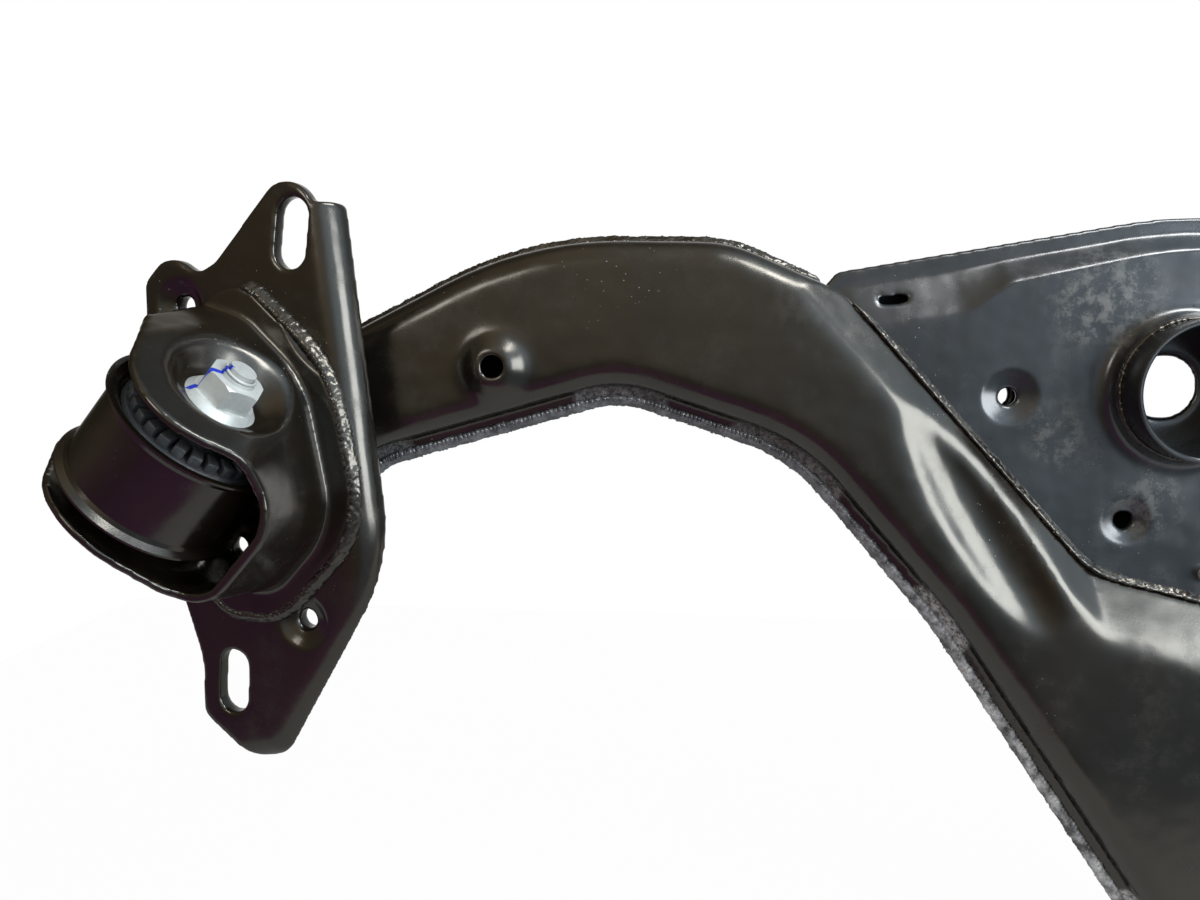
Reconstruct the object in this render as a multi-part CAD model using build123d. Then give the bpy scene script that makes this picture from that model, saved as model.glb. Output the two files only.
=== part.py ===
from build123d import *
from math import acos, atan2, cos, degrees, radians, sin, sqrt
import os

# Rear wheel carrier: a pressed trailing arm with its wheel hub carrier, its front bush and the
# body bracket that the bush pivots in. Row frame, in millimetres: the hub axis is Y and the wheel
# side is -Y. +X runs from the bush towards the tail of the arm and +Z is up. Y = 0 is the wheel
# side of the hub plate.

# Main lengths: from the hub axis to the bush along the arm, and down to the link sleeve
ARM_REACH = 427.4
TAIL_DROP = 262.0

# Hub: tube for the wheel bearing and the plates that hold it
HUB_BORE_R = 28.5
HUB_TUBE_WALL = 2.0
HUB_TUBE_FRONT = 24.0
HUB_PLATE_T = 3.0
HUB_SLOPE_FRONT = 8.0
HUB_SLOPE_REAR = 7.0
HUB_COLLAR_H = 7.0
HUB_COLLAR_WALL = 1.3
HUB_COLLAR_FLARE = 6.5
REAR_ACCESS_R = 14.3
GAUGE_HOLE_R = 4.0
GAUGE_DISH_DEPTH = 3.0
GAUGE_HOLES = [(-74.6, -4.0, 12.4), (-20.9, -60.1, 10.7)]
DRAIN_SLOT = (13.0, 3.4)
DRAIN_PLACE = (-126.5, 40.0, 5.0)
STUD_R = 3.4
STUD_H = 6.0
STUD_PLACE = (15.0, -84.0)

# Arm: two pressed shells, welded along a flange
SHELL_T = 3.0
ARM_FRONT = 14.0
ARM_SEAM = -4.0
ARM_BACK = -28.0
PRESS_R = 12.0
SLOPE_EDGE = 1.5
SLOPE_UPPER = 15.0
SLOPE_LOWER = 26.0
LOWER_FLANGE = 6.0
LOWER_FLANGE_STEP = 4.0
UPPER_LIP = 3.0
SEAM_BEAD = 3.0
DOME_PLACE = (118.2 - ARM_REACH, 9.6)
DOME_R = 17.0
DOME_TOP_R = 8.0
DOME_H = 6.0
DOME_HOLE_R = 5.0
SWAGE_TOP = (-124.0, 6.0)
SWAGE_END = (-54.0, -112.0)
SWAGE_WIDTH = 35.0
SWAGE_DEPTH = 8.0
LINK_PLACE = (57.0, -TAIL_DROP)
LINK_BORE_R = 12.0
LINK_WALL = 4.0
LINK_PROUD = 5.0

# Front bush
PIVOT = (-ARM_REACH, -76.5, -25.7)
BRACKET_TILT = 10.0
PIVOT_LEAN = 46.9
HOUSING_R = 36.5
HOUSING_T = 3.0
HOUSING_HALF = 20.5
HOUSING_LIP = 3.0
HOUSING_LIP_H = 4.5
BUSH_SLEEVE_T = 1.5
RUBBER_HALF = 17.5
TEETH = 18
TOOTH_RISE = 5.0
TOOTH_RING = 9.5
TOOTH_GAP = 1.8
BOSS_WALL = 6.0
BOSS_HALF = 23.5
INNER_SLEEVE_R = 11.0
RUBBER_FIT = 0.05
NECK_ALONG = 32.0
NECK_ACROSS = 40.0
NECK_CORNER = 8.0
NECK_BEAD = 3.0

# Clevis and its bolt
PIVOT_HEIGHT = 41.0
CLEVIS_T = 4.0
CLEVIS_BASE_T = 4.0
EAR_IN = 27.0
EAR_TOP_IN = 29.0
EAR_UPPER_FOOT = 42.5
EAR_LOWER_FOOT = 46.0
EAR_EDGE_R = 37.5
WEB_FOOT = 54.0
WEB_TOP = 51.0
WEB_HEIGHT = 55.0
WEB_OPEN = -70.0
WEB_CORNER = 22.0
WEB_BEVEL_UP = 40.0
WEB_BEVEL_ALONG = 55.0
EAR_BEVEL = 12.0
EAR_BEND = -34.0
EAR_CLOSES_FOOT = 19.0
EAR_CLOSES_TOP = 2.0
SEAT_R = 18.0
BOLT_R = 7.0
BOLT_PLAY = 0.3
THREAD_PLAY = 0.05
BOLT_TIP = 17.5
WRENCH_FLATS = 21.0
FLANGE_R = 15.0
FLANGE_T = 3.0
NUT_H = 13.0
HEX_CHAMFER = 1.2
HEAD_H = 11.0
CLEVIS_BEAD = 3.2
CLEVIS_BEAD_RUN = 142.0

# Mounting plate
PLATE_T = 7.5
PLATE_EDGE_R = 13.0
PLATE_FLANGE = 14.0
FLANGE_END = -80.0
FLANGE_FADE = -30.0
SLOT_W = 15.4
SLOT_L = 31.0
SLOTS = [(28.4, 93.4, 81.7), (-12.2, -113.2, 84.7)]
LOCATOR_HOLE_R = 4.6
LOCATOR_DISH_DEPTH = 4.0
LOCATORS = [(-30.6, 62.7, 12.5), (27.0, -80.5, 13.0)]
WINDOW = (-28.0, 28.0, -19.0, 19.0)
DRAIN_HOLE_R = 4.4
DRAIN_HOLE = (28.5, -38.5)

# Outlines, as corners (along, up, radius). The arm and the hub are drawn as seen from the wheel.
BUSH_END = [(-29, -12, 24), (-21, -62, 26), (25, -64, 24), (55, -31, 40)]
ARM_OUTLINE = [(x - ARM_REACH, y, r) for x, y, r in BUSH_END]
ARM_OUTLINE += [(-252, 3, 55), (-167, -25, 90), (-97, -106, 200)]
ARM_OUTLINE += [(28, -28 - TAIL_DROP, 34), (96, -34 - TAIL_DROP, 34)]
ARM_OUTLINE += [(86, -114, 22), (-35, -85, 45), (-150, 43, 14), (-202, 66, 60), (-294, 68, 180)]
HUB_SIDE = slice(9, 12)
# Which side of the arm has the wide welded flange, and which edge of it has a bead
LOWER_EDGE = [(32 - ARM_REACH, -90), (32 - ARM_REACH, -25), (-252, 20), (-172, -8), (-92, -92),
              (6, 24 - TAIL_DROP), (-30, -TAIL_DROP), (-220, -TAIL_DROP)]
UPPER_EDGE = [(47 - ARM_REACH, 24), (47 - ARM_REACH, 110), (-164, 110), (-166, 40)]
LAP_EDGE = [(-160, 30), (-150, 42), (-20, -70), (78, -92), (78, -125), (-60, -100)]
HUB_OUTLINE = [(-164, 38, 6), (-50, -95, 24), (84, -128, 12), (100, -60, 50), (100, 34, 46),
               (60, 75, 40), (-10, 76, 200), (-152, 53, 6)]
HUB_SLOPE_FOOT = [(-156, 38, 5), (-48, -88, 24), (78, -119, 10), (92, -58, 44), (92, 30, 40),
                  (57, 67, 34), (-10, 69, 180), (-80, 57, 60), (-100, 53.3, 60), (-148, 45.5, 4)]
HUB_FACE = [(-150, 25, 5), (-44, -88, 20), (72, -112, 8), (84, -56, 38), (84, 26, 34),
            (54, 60, 30), (-10, 61, 160), (-77, 47, 16), (-95, 33.5, 16), (-138, 26.5, 4)]
PLATE_OUTLINE = [(31.5, 127.5, 13), (-11, 82, 14), (-21, 77, 8), (-36, 87, 12), (-49.5, 74, 9),
                 (-50.5, 54, 14), (-68, 30, 24), (-74, -20, 40), (-40, -68, 30), (-29, -104, 40),
                 (-30, -131, 8), (-4, -151, 14), (13.5, -149.5, 16), (66.8, -60, 90),
                 (49, 107, 4), (38.5, 106.5, 2)]
PLATE_BEND = [(-90, 140, 0), (-90, -180, 0), (13.5, -149.5, 16), (66.8, -60, 90), (45.2, 140, 0)]
CLEVIS_FOOT = [(-57, 30, 6), (-49, 56.5, 18), (9, 57.5, 60), (67, 15.5, 45), (66, -46, 28), (46, -64, 16),
               (-48, -63, 14)]
EAR_CORNER = (-47.0, 43.0)
EAR_FOOT = -55.0

PAST = 1.0
WIDE = 400.0


def outline(corners):
    """Closed face from corners given as (along, up, radius)."""
    line = FilletPolyline(*[(x, y) for x, y, _ in corners], radius=[r for _, _, r in corners], close=True)
    return make_face(line.edges())


def slab(face, low, high):
    """A face drawn on XY, extruded from one height to another."""
    return Pos(0, 0, low) * extrude(face, high - low)


def disc(radius, low, high, x=0.0, y=0.0):
    return Pos(x, y, low) * Cylinder(radius, high - low, align=(Align.CENTER, Align.CENTER, Align.MIN))


def cone(r_low, r_high, low, high, x=0.0, y=0.0):
    return Pos(x, y, low) * Cone(r_low, r_high, high - low, align=(Align.CENTER, Align.CENTER, Align.MIN))


def turned(*profile):
    """A ring turned about Z from (radius, height) corners."""
    return revolve(Plane.XZ * make_face(Polyline(*profile, close=True)), Axis.Z)


def taper_between(top, top_at, foot, foot_at):
    """A ruled body from one outline to another at a second height."""
    return loft([Pos(0, 0, foot_at) * outline(foot), Pos(0, 0, top_at) * outline(top)], ruled=True)


def bead_round(face, leg, low):
    """A fillet weld of the given leg that stands at height low round the edge of a face."""
    grown = offset(face, leg)
    return Pos(0, 0, low) * extrude(grown, leg, taper=45) - slab(face, low - PAST, low + leg + PAST)


def pressed_shell(face, low, high, wall, press_r):
    """An open sheet pressing whose floor is at height high and whose edge is at height low."""
    outer = slab(face, low, high)
    outer = fillet(outer.faces().sort_by(Axis.Z)[-1].edges(), press_r)
    core = slab(offset(face, -wall), low - PAST, high - wall)
    core = fillet(core.faces().sort_by(Axis.Z)[-1].edges(), press_r - wall)
    return outer, core


# Frames: the arm is drawn as seen from the wheel, with height towards the wheel
ARM = Plane.XZ.location
tilt = radians(BRACKET_TILT)
PLATE_NORMAL = Vector(-sin(tilt), -cos(tilt), 0)
PLATE_ACROSS = Vector(cos(tilt), -sin(tilt), 0)
PLATE_PLANE = Plane(Vector(*PIVOT) - PLATE_NORMAL * PIVOT_HEIGHT, x_dir=PLATE_ACROSS, z_dir=PLATE_NORMAL)
PLATE = PLATE_PLANE.location
lean = radians(PIVOT_LEAN)
# On the clevis plane X runs to the closed side of the clevis, Y along the bolt and Z off the plate
CLEVIS = PLATE * Plane((0, 0, 0), x_dir=(sin(lean), -cos(lean), 0), z_dir=(0, 0, 1)).location
# On the bush plane Z is the bolt's axis and Y points away from the plate
BUSH = CLEVIS * Plane((0, 0, PIVOT_HEIGHT), x_dir=(-1, 0, 0), z_dir=(0, 1, 0)).location

arm_face = outline(ARM_OUTLINE)
lower_side = make_face(Polyline(*LOWER_EDGE, close=True))
arm_flange_face = offset(arm_face, LOWER_FLANGE)
hub_face = outline(HUB_OUTLINE)
hub_tube_r = HUB_BORE_R + HUB_TUBE_WALL
front_lap = -HUB_SLOPE_FRONT - HUB_PLATE_T
rear_floor = front_lap - HUB_PLATE_T - HUB_SLOPE_REAR
hub_box = slab(hub_face, rear_floor, 0)


def swage(extra=0.0):
    """The almond-shaped hollow pressed into the arm: an arc turned about a line above the face."""
    (x0, y0), (x1, y1) = SWAGE_TOP, SWAGE_END
    half = sqrt((x1 - x0) ** 2 + (y1 - y0) ** 2) / 2
    rise = ((SWAGE_WIDTH / 2) ** 2 - SWAGE_DEPTH ** 2) / (2 * SWAGE_DEPTH)
    reach = rise + SWAGE_DEPTH
    arc_r = (half ** 2 + SWAGE_DEPTH ** 2) / (2 * SWAGE_DEPTH)
    span = sqrt(arc_r ** 2 - (arc_r - reach) ** 2)
    grown = extra / reach + 1
    profile = ThreePointArc((-span * grown, 0), (0, reach + extra), (span * grown, 0))
    body = revolve(make_face([profile.edge(), Line((span * grown, 0), (-span * grown, 0)).edge()]), Axis.X)
    turn = Rot(0, 0, degrees(atan2(y1 - y0, x1 - x0)))
    return Pos((x0 + x1) / 2, (y0 + y1) / 2, ARM_FRONT + rise) * turn * body


def above_slope(start, end, run, drop=0.0):
    """Everything above a slope that rises inwards from a line at the hub plate to the arm's face."""
    (x0, y0), (x1, y1) = start, end
    length = sqrt((x1 - x0) ** 2 + (y1 - y0) ** 2)
    along = Vector((x1 - x0) / length, (y1 - y0) / length, 0)
    outward = Vector(-along.Y, along.X, 0)
    normal = (outward * (ARM_FRONT - SLOPE_EDGE) + Vector(0, 0, run)).normalized()
    base = Plane(Vector(x0, y0, SLOPE_EDGE) - normal * drop, x_dir=along, z_dir=normal)
    return base.location * slab(Rectangle(2 * WIDE, 2 * WIDE), 0, WIDE)


def hub_slopes(drop=0.0):
    upper, corner, lower = [(x, y) for x, y, _ in reversed(ARM_OUTLINE[HUB_SIDE])]
    return above_slope(upper, corner, SLOPE_UPPER, drop) & above_slope(corner, lower, SLOPE_LOWER, drop)


def arm_front_shell():
    outer, core = pressed_shell(arm_face, ARM_SEAM, ARM_FRONT, SHELL_T, PRESS_R)
    outer = outer - hub_slopes()
    core = core - hub_slopes(SHELL_T)
    flange = slab(arm_flange_face & lower_side, ARM_SEAM, ARM_SEAM + SHELL_T)
    x, y = DOME_PLACE
    outer = outer + flange + cone(DOME_R, DOME_TOP_R, ARM_FRONT - PAST / 4, ARM_FRONT + DOME_H, x, y)
    core = core - swage(SHELL_T) + cone(DOME_R - SHELL_T, DOME_TOP_R - SHELL_T / 2,
                                        ARM_FRONT - SHELL_T - PAST / 4, ARM_FRONT + DOME_H - SHELL_T, x, y)
    shell = outer - swage() - core - disc(DOME_HOLE_R, 0, ARM_FRONT + DOME_H + PAST, x, y)
    return shell - hub_box - link_space()


def arm_rear_shell():
    mirrored = Plane.XY.offset(ARM_SEAM)
    depth = ARM_SEAM - ARM_BACK
    outer, core = pressed_shell(arm_face, 0, depth, SHELL_T, PRESS_R - SHELL_T)
    body = mirror(outer - core, Plane.XY)
    lip_ring = offset(arm_face, UPPER_LIP) - offset(arm_face, -SHELL_T)
    wide_ring = (offset(arm_face, LOWER_FLANGE + LOWER_FLANGE_STEP) - offset(arm_face, -SHELL_T)) & lower_side
    body = body + slab(lip_ring, -SHELL_T, 0) + slab(wide_ring, -SHELL_T, 0)
    return mirrored.location * body - hub_box - link_space() - hub_side_strip()


def hub_side_strip():
    """Room on the hub side of the rear shell, where it has no lip over the hub plates."""
    beyond = offset(hub_face, UPPER_LIP + PAST)
    return slab(beyond - arm_face, rear_floor - PAST, 0)


def link_space():
    x, y = LINK_PLACE
    return disc(LINK_BORE_R + LINK_WALL, ARM_BACK - PAST, ARM_FRONT + PAST, x, y)


def link_sleeve():
    x, y = LINK_PLACE
    low, high = ARM_BACK - LINK_PROUD, ARM_FRONT + LINK_PROUD
    sleeve = disc(LINK_BORE_R + LINK_WALL, low, high, x, y) - disc(LINK_BORE_R, low, high, x, y)
    return chamfer(sleeve.edges().group_by(Axis.Z)[0] + sleeve.edges().group_by(Axis.Z)[-1], 0.8)


def link_sleeve_weld():
    x, y = LINK_PLACE
    outer_r = LINK_BORE_R + LINK_WALL
    return Pos(x, y, 0) * turned((outer_r, ARM_FRONT), (outer_r + SEAM_BEAD, ARM_FRONT),
                                 (outer_r, ARM_FRONT + SEAM_BEAD))


def ball_dish(radius, depth, sheet, x, y):
    """A round dish pressed into a sheet: what it adds behind and what it takes away in front."""
    ball_r = (radius ** 2 + depth ** 2) / (2 * depth)
    hollow = Pos(x, y, ball_r - depth) * Sphere(ball_r)
    bulge = Pos(x, y, ball_r - depth) * Sphere(ball_r + sheet)
    reach = radius + sheet
    return bulge & disc(reach, -depth - sheet, -sheet, x, y), hollow & disc(reach, -depth, PAST, x, y)


def gauge_dish(hub_sheet, x, y, dish_r):
    """Press a shallow dish with a hole in it into the hub plate."""
    bulge, hollow = ball_dish(dish_r, GAUGE_DISH_DEPTH, HUB_PLATE_T, x, y)
    return hub_sheet + bulge - hollow - disc(GAUGE_HOLE_R, -2 * HUB_PLATE_T - PAST, PAST, x, y)


def hub_front_plate():
    top = taper_between(HUB_FACE, 0, HUB_SLOPE_FOOT, -HUB_SLOPE_FRONT)
    under = taper_between(HUB_FACE, -HUB_PLATE_T, HUB_SLOPE_FOOT, front_lap)
    sheet = top + slab(hub_face, front_lap, -HUB_SLOPE_FRONT) - under
    lip_r = hub_tube_r + HUB_COLLAR_WALL
    foot_r = lip_r + HUB_COLLAR_FLARE
    cove = ThreePointArc((lip_r, HUB_COLLAR_H), (lip_r + HUB_COLLAR_FLARE * 0.27, HUB_COLLAR_H * 0.3), (foot_r, 0))
    rest = Polyline((foot_r, 0), (foot_r, -HUB_PLATE_T), (hub_tube_r, -HUB_PLATE_T), (hub_tube_r, HUB_COLLAR_H),
                    (lip_r, HUB_COLLAR_H))
    collar = revolve(Plane.XZ * make_face([cove.edge(), *rest.edges()]), Axis.Z)
    sheet = sheet + collar - disc(hub_tube_r, -HUB_PLATE_T - PAST, HUB_COLLAR_H + PAST)
    for x, y, dish_r in GAUGE_HOLES:
        sheet = gauge_dish(sheet, x, y, dish_r)
    x, y, turn = DRAIN_PLACE
    slot = Pos(x, y, 0) * Rot(0, 0, turn) * extrude(SlotOverall(*DRAIN_SLOT), front_lap - PAST)
    return sheet - slot


def hub_rear_plate():
    low = rear_floor
    under = taper_between(HUB_SLOPE_FOOT, front_lap - HUB_PLATE_T, HUB_FACE, low)
    inside = taper_between(HUB_SLOPE_FOOT, front_lap, HUB_FACE, low + HUB_PLATE_T)
    sheet = under + slab(hub_face, front_lap - HUB_PLATE_T, front_lap) - inside
    sheet = sheet - disc(REAR_ACCESS_R, low - PAST, 0)
    x, y, _ = GAUGE_HOLES[0]
    return sheet - disc(GAUGE_HOLE_R + 1, low - PAST, 0, x, y)


def hub_tube():
    low = rear_floor + HUB_PLATE_T
    tube = disc(hub_tube_r, low, HUB_TUBE_FRONT) - disc(HUB_BORE_R, low, HUB_TUBE_FRONT)
    return chamfer(tube.edges().group_by(Axis.Z)[-1], 0.6)


def hub_tube_weld():
    return turned((hub_tube_r, HUB_COLLAR_H), (hub_tube_r + HUB_COLLAR_WALL, HUB_COLLAR_H),
                  (hub_tube_r, HUB_COLLAR_H + HUB_COLLAR_WALL))


def hub_stud():
    x, y = STUD_PLACE
    stud = disc(STUD_R, 0, STUD_H, x, y)
    return chamfer(stud.edges().group_by(Axis.Z)[-1], 0.8)


def seam_welds():
    """Beads along the shells' lower flange, their upper lip and the edge that laps the hub plate."""
    hub_zone = offset(hub_face, 2 * SEAM_BEAD)
    lower = bead_round(arm_flange_face, SEAM_BEAD, ARM_SEAM) & slab(lower_side, ARM_SEAM, 0)
    top_side = make_face(Polyline(*UPPER_EDGE, close=True))
    upper = bead_round(arm_face, UPPER_LIP, ARM_SEAM) & slab(top_side, ARM_SEAM, 0)
    lap_side = make_face(Polyline(*LAP_EDGE, close=True))
    lap = bead_round(arm_face, SEAM_BEAD, 0) & slab(lap_side & hub_zone, 0, SEAM_BEAD)
    return {"arm_lower_weld": lower, "arm_upper_weld": upper, "hub_lap_weld": lap}


def housing_solid():
    return disc(HOUSING_R, -HOUSING_HALF, HOUSING_HALF)


def bush_housing():
    inner, rim = HOUSING_R - HOUSING_T, HOUSING_R + HOUSING_LIP
    low = HOUSING_HALF - HOUSING_LIP_H
    half = [(inner, 0), (HOUSING_R, 0), (HOUSING_R, low), (HOUSING_R + 0.7, low + 1.8), (rim, HOUSING_HALF - 1),
            (rim, HOUSING_HALF), (rim - 2.2, HOUSING_HALF), (inner + 0.8, low + 2.2), (inner, low)]
    return turned(*half) + turned(*[(r, -z) for r, z in half])


def bush_outer_sleeve():
    outer = HOUSING_R - HOUSING_T
    low = HOUSING_HALF - HOUSING_LIP_H
    return turned((outer - BUSH_SLEEVE_T, -low), (outer, -low), (outer, low), (outer - BUSH_SLEEVE_T, low))


def bush_rubber():
    outer = HOUSING_R - HOUSING_T - BUSH_SLEEVE_T
    bore = INNER_SLEEVE_R + RUBBER_FIT
    sleeve_end = HOUSING_HALF - HOUSING_LIP_H
    body = disc(outer, -RUBBER_HALF + 1.5, RUBBER_HALF - 1.5) + disc(bore + BOSS_WALL, -BOSS_HALF, BOSS_HALF)
    body = body + turned((outer - TOOTH_RING, -RUBBER_HALF), (outer, -RUBBER_HALF), (outer, RUBBER_HALF),
                         (outer - TOOTH_RING, RUBBER_HALF))
    ring = disc(outer - 0.4, 0, RUBBER_HALF + TOOTH_RISE) - disc(outer - TOOTH_RING + 1, 0, RUBBER_HALF + TOOTH_RISE)
    slit = Pos(outer - TOOTH_RING / 2, 0, RUBBER_HALF + TOOTH_RISE) * Box(TOOTH_RING * 2, TOOTH_GAP, TOOTH_RISE * 2)
    teeth = ring - [Rot(0, 0, 360 / TEETH * n) * slit for n in range(TEETH)]
    body = body + teeth + mirror(teeth, Plane.XY)
    return body - disc(bore, -BOSS_HALF - PAST, BOSS_HALF + PAST)


def inner_sleeve():
    bore = BOLT_R + BOLT_PLAY
    return disc(INNER_SLEEVE_R, -EAR_IN, EAR_IN) - disc(bore, -EAR_IN, EAR_IN)


def hexagon(low, high):
    across_corners = WRENCH_FLATS / cos(radians(30))
    prism = slab(RegularPolygon(across_corners / 2, 6, major_radius=True), low, high)
    corner = across_corners / 2
    top_chamfer = cone(corner + HEX_CHAMFER * (high - low), corner - HEX_CHAMFER, low, high)
    return prism & top_chamfer


def pivot_bolt():
    seat = EAR_IN + CLEVIS_T
    shank = disc(BOLT_R, -seat, seat + BOLT_TIP - 3)
    tip = disc(BOLT_R - 1.6, seat + BOLT_TIP - 3, seat + BOLT_TIP)
    flange = cone(FLANGE_R, FLANGE_R - 1.2, 0, FLANGE_T)
    head = mirror(Pos(0, 0, seat) * (flange + hexagon(0, HEAD_H)), Plane.XY)
    return shank + tip + head


def flange_nut():
    seat = EAR_IN + CLEVIS_T
    nut = cone(FLANGE_R, FLANGE_R - 2.6, 0, FLANGE_T) + hexagon(0, NUT_H)
    return Pos(0, 0, seat) * (nut - disc(BOLT_R + THREAD_PLAY, -PAST, NUT_H + PAST))


def clevis_wall(inset, low, high):
    """The tapered U of the clevis, drawn on the clevis plane and grown inwards by inset."""
    ear_top = EAR_TOP_IN + CLEVIS_T
    ear_foot = EAR_UPPER_FOOT + CLEVIS_T
    foot_end = WEB_FOOT + CLEVIS_T
    top_end = WEB_TOP + CLEVIS_T
    foot = [(WEB_OPEN, -EAR_LOWER_FOOT - CLEVIS_T, 0), (foot_end, -EAR_LOWER_FOOT - CLEVIS_T, WEB_CORNER),
            (foot_end, ear_foot - WEB_BEVEL_UP, 40), (foot_end - WEB_BEVEL_ALONG, ear_foot, 50),
            (EAR_BEND, ear_foot, 30), (WEB_OPEN, ear_foot - EAR_CLOSES_FOOT, 0)]
    top = [(WEB_OPEN, -ear_top, 0), (top_end, -ear_top, WEB_CORNER),
           (top_end, ear_top - EAR_BEVEL, 16), (top_end - EAR_BEVEL, ear_top, 16),
           (EAR_BEND, ear_top, 30), (WEB_OPEN, ear_top - EAR_CLOSES_TOP, 0)]
    faces = [Pos(0, 0, low) * offset(outline(foot), -inset), Pos(0, 0, high) * offset(outline(top), -inset)]
    return loft(faces, ruled=True)


def tangent_point(x, y, side):
    """Where a line from (x, y) touches the ear's round edge."""
    dx, dy = x, y - PIVOT_HEIGHT
    reach = sqrt(dx * dx + dy * dy)
    angle = atan2(dy, dx) + side * acos(EAR_EDGE_R / reach)
    return EAR_EDGE_R * cos(angle), PIVOT_HEIGHT + EAR_EDGE_R * sin(angle)


def ear_profile():
    """Side view of the clevis: round ears about the bolt, and the lower web between them."""
    web_corner = (EAR_CORNER[0] * -1 - 3, WEB_HEIGHT)
    left = tangent_point(*EAR_CORNER, -1)
    right = tangent_point(*web_corner, 1)
    right_end = WEB_FOOT + 3 * CLEVIS_T + 20
    body = Polyline((EAR_FOOT, -PAST), EAR_CORNER, left, (0, PIVOT_HEIGHT), right, web_corner,
                    (right_end, WEB_HEIGHT), (right_end, -PAST), close=True)
    side = make_face(body) + Pos(0, PIVOT_HEIGHT) * Circle(EAR_EDGE_R)
    return Plane.XZ * side


def seat_cone(grown, from_y, to_y):
    """A cone about the bolt that opens outwards, on the upper ear."""
    base = SEAT_R + grown
    return cone(base, base + (to_y - from_y) * 0.9, from_y, to_y)


def bush_clevis():
    top = PIVOT_HEIGHT + EAR_EDGE_R + 2
    foot = outline(CLEVIS_FOOT)
    inside = clevis_wall(CLEVIS_T, -PAST, top + PAST)
    walls = clevis_wall(0, 0, top) & extrude(ear_profile(), WIDE, both=True)
    walls = walls + slab(foot, 0, CLEVIS_BASE_T) - inside
    seat = EAR_IN + CLEVIS_T
    turn = Plane((0, 0, PIVOT_HEIGHT), x_dir=(-1, 0, 0), z_dir=(0, 1, 0)).location
    cup = seat_cone(CLEVIS_T * 0.9, EAR_IN, seat + 9)
    backing = (cup + mirror(cup, Plane.XY))
    dish = seat_cone(0, seat, seat + 30)
    dishes = dish + mirror(dish, Plane.XY)
    keep = clevis_wall(0, 0, top) & extrude(ear_profile(), WIDE, both=True)
    walls = walls + (turn * backing & keep) - turn * dishes
    hole = turn * disc(BOLT_R + BOLT_PLAY, -WIDE / 2, WIDE / 2)
    return walls - hole


def clevis_weld():
    foot = outline(CLEVIS_FOOT)
    closed_side = slab(Pos(WEB_FOOT / 2, 0) * Rectangle(CLEVIS_BEAD_RUN, WIDE), 0, CLEVIS_BEAD)
    return bead_round(foot, CLEVIS_BEAD, 0) & closed_side


def mounting_plate():
    face = outline(PLATE_OUTLINE)
    bend = slab(outline(PLATE_BEND), -PLATE_FLANGE, 0)
    front = bend.faces().sort_by(Axis.Z)[-1]
    bent_edges = [e for e in front.edges() if e.center().X > 20 and e.center().Y > -140 and e.center().Y < 130]
    bend = fillet(bent_edges, PLATE_EDGE_R)
    inset = [(x - (PLATE_T if x > 0 else 20), y, max(r - PLATE_T, 0)) for x, y, r in PLATE_BEND]
    under = slab(outline(inset), -PLATE_FLANGE - PAST, -PLATE_T)
    floor = under.faces().sort_by(Axis.Z)[-1]
    under_edges = [e for e in floor.edges() if e.center().X > 15 and e.center().Y > -140 and e.center().Y < 130]
    under = fillet(under_edges, PLATE_EDGE_R - PLATE_T)
    plate = (bend - under) & slab(face, -PLATE_FLANGE, 0)
    fade = Plane.YZ * make_face(Polyline((-WIDE, -PLATE_T), (FLANGE_END, -PLATE_T), (FLANGE_FADE, -PLATE_FLANGE),
                                         (FLANGE_FADE, -2 * PLATE_FLANGE), (-WIDE, -2 * PLATE_FLANGE),
                                         close=True))
    plate = plate - extrude(fade, WIDE, both=True)
    for x, y, dish_r in LOCATORS:
        bulge, hollow = ball_dish(dish_r, LOCATOR_DISH_DEPTH, PLATE_T, x, y)
        plate = plate + bulge - hollow - disc(LOCATOR_HOLE_R, -2 * PLATE_T, PAST, x, y)
    for x, y, turn in SLOTS:
        plate = plate - Pos(x, y, PAST) * Rot(0, 0, turn) * extrude(SlotOverall(SLOT_L, SLOT_W), -2 * PLATE_T)
    left, right, low, high = WINDOW
    opening = Pos((left + right) / 2, (low + high) / 2) * RectangleRounded(right - left, high - low, 10)
    to_plate = Plane((0, 0, 0), x_dir=(sin(lean), -cos(lean), 0), z_dir=(0, 0, 1)).location
    drain = disc(DRAIN_HOLE_R, -2 * PLATE_T, PAST, *DRAIN_HOLE)
    return plate - to_plate * (slab(opening, -2 * PLATE_T, PAST) + drain)


def neck_body(grown=0.0):
    """The boxed neck, on the clevis plane, from well behind the arm's face up to the bush axis."""
    section = RectangleRounded(NECK_ACROSS + 2 * grown, NECK_ALONG + 2 * grown, NECK_CORNER + grown)
    return slab(section, -80, PIVOT_HEIGHT)


def bush_neck():
    """Folded neck between the arm's face and the bush housing, cut to sit on both."""
    arm_half_space = Pos(0, WIDE / 2 - ARM_FRONT, 0) * Box(WIDE * 3, WIDE, WIDE * 3)
    neck = CLEVIS * (neck_body() - neck_body(-SHELL_T))
    return neck - BUSH * housing_solid() - arm_half_space


def neck_welds():
    collar = neck_body(NECK_BEAD) - neck_body()
    round_housing = BUSH * (disc(HOUSING_R + NECK_BEAD, -HOUSING_HALF + HOUSING_LIP_H, HOUSING_HALF - HOUSING_LIP_H)
                            - housing_solid())
    behind = CLEVIS * slab(Rectangle(WIDE, WIDE), -80, PIVOT_HEIGHT - 12)
    housing_weld = CLEVIS * collar & round_housing & behind
    face_slab = Pos(0, -ARM_FRONT - NECK_BEAD / 2, 0) * Box(WIDE * 3, NECK_BEAD, WIDE * 3)
    neck_weld = CLEVIS * collar & face_slab
    return {"bush_housing_weld": housing_weld, "bush_neck_weld": neck_weld}


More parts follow.
